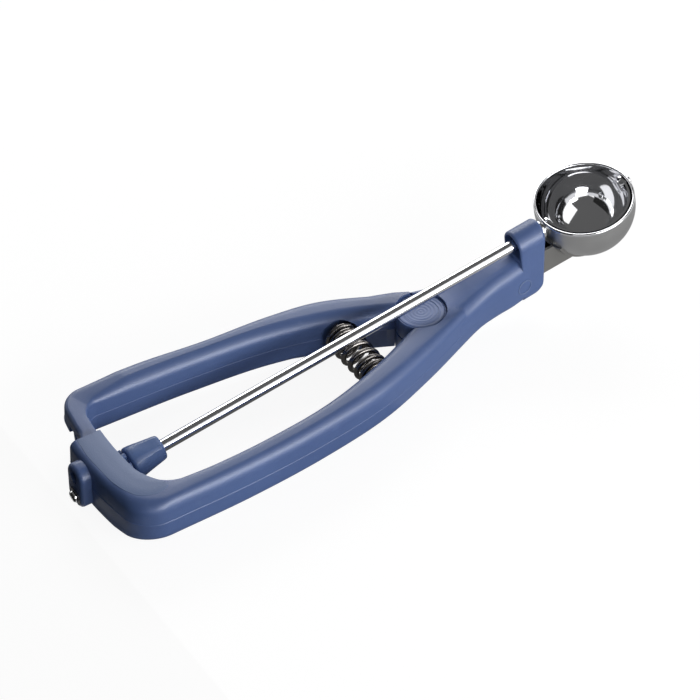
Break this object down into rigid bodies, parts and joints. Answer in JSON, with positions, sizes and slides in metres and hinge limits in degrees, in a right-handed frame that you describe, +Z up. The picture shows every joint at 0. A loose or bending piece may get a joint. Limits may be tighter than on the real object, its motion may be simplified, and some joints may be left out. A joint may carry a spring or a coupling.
{
  "type": "lever ice cream scoop",
  "caption": "Squeeze-handle ice cream scoop with a steel bowl, a sprung lever, and a rack and pinion that sweep a curved scraper blade round inside the bowl.",
  "frame": {"origin": "where the lever's pivot axis meets the flat underside of the handle, on the pivot pin's flush head", "axes": "+X along the handle towards the bowl, +Y towards the lever's arm, +Z up out of the bowl's open side"},
  "size_m": [0.2304, 0.0672, 0.0412],
  "materials": {
    "blue_plastic": "satin moulded",
    "dark_plastic": "plain moulded",
    "polished_steel": "mirror polished stainless",
    "satin_steel": "satin stainless",
    "spring_steel": "dark drawn wire"
  },
  "bodies": {
    "frame": {"frame_handle": "blue_plastic", "front_bush": "dark_plastic", "rear_bush": "dark_plastic", "bowl": "polished_steel", "bowl_bracket": "satin_steel", "bracket_pin": "satin_steel", "pivot_pin": "polished_steel", "pivot_washer": "dark_plastic", "pivot_clip": "spring_steel", "spring_post_frame": "blue_plastic", "return_spring": "spring_steel"},
    "lever": {"lever_handle": "blue_plastic", "pivot_bush": "dark_plastic", "pivot_cap": "blue_plastic", "spring_post_lever": "blue_plastic"},
    "rod": {"drive_rod": "polished_steel", "pinion_knob": "blue_plastic", "rod_collar": "polished_steel", "scraper_blade": "polished_steel", "scraper_rivet": "polished_steel", "scraper_tip_pin": "polished_steel"}
  },
  "joints": [
    {"name": "lever", "type": "hinge", "parent": "frame", "child": "lever", "pos_m": [0, 0, 0], "axis": [0, 0, 1], "range_deg": [0, 6.79], "stiffness_Nm_per_rad": 5, "springref_deg": -4.58, "deforming": ["return_spring"]},
    {"name": "scraper_spin", "type": "hinge", "parent": "frame", "child": "rod", "pos_m": [0.0692, 0, 0.0324], "axis": [0.9903, 0, 0.1392], "range_deg": [0, 180]}
  ],
  "couplings": [
    {"joint": "scraper_spin", "follows": "lever", "ratio": 26.5}
  ]
}
